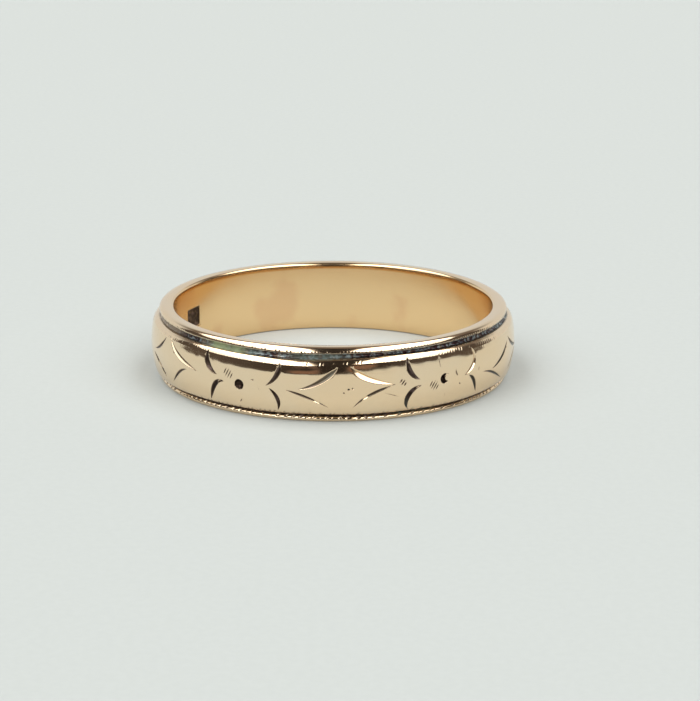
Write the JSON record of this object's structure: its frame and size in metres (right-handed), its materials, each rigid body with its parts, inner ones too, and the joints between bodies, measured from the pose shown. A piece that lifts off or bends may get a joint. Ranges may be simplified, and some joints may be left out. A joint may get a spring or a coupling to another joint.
{
  "type": "wedding band",
  "caption": "Round gold finger ring with a domed outside, grooved beaded edges and hand engraved diamonds and flowers.",
  "frame": {"origin": "centre of the finger hole, in the plane that the band's lower edge rests on", "axes": "+Z along the finger hole; -Y towards the front, where one engraved diamond is in the middle; +X to the right"},
  "size_m": [0.0198, 0.0198, 0.0039],
  "materials": {
    "gold": "polished 14 karat yellow gold, lightly worn, darkened in the cuts"
  },
  "bodies": {
    "root": {"band": "gold"}
  },
  "joints": []
}
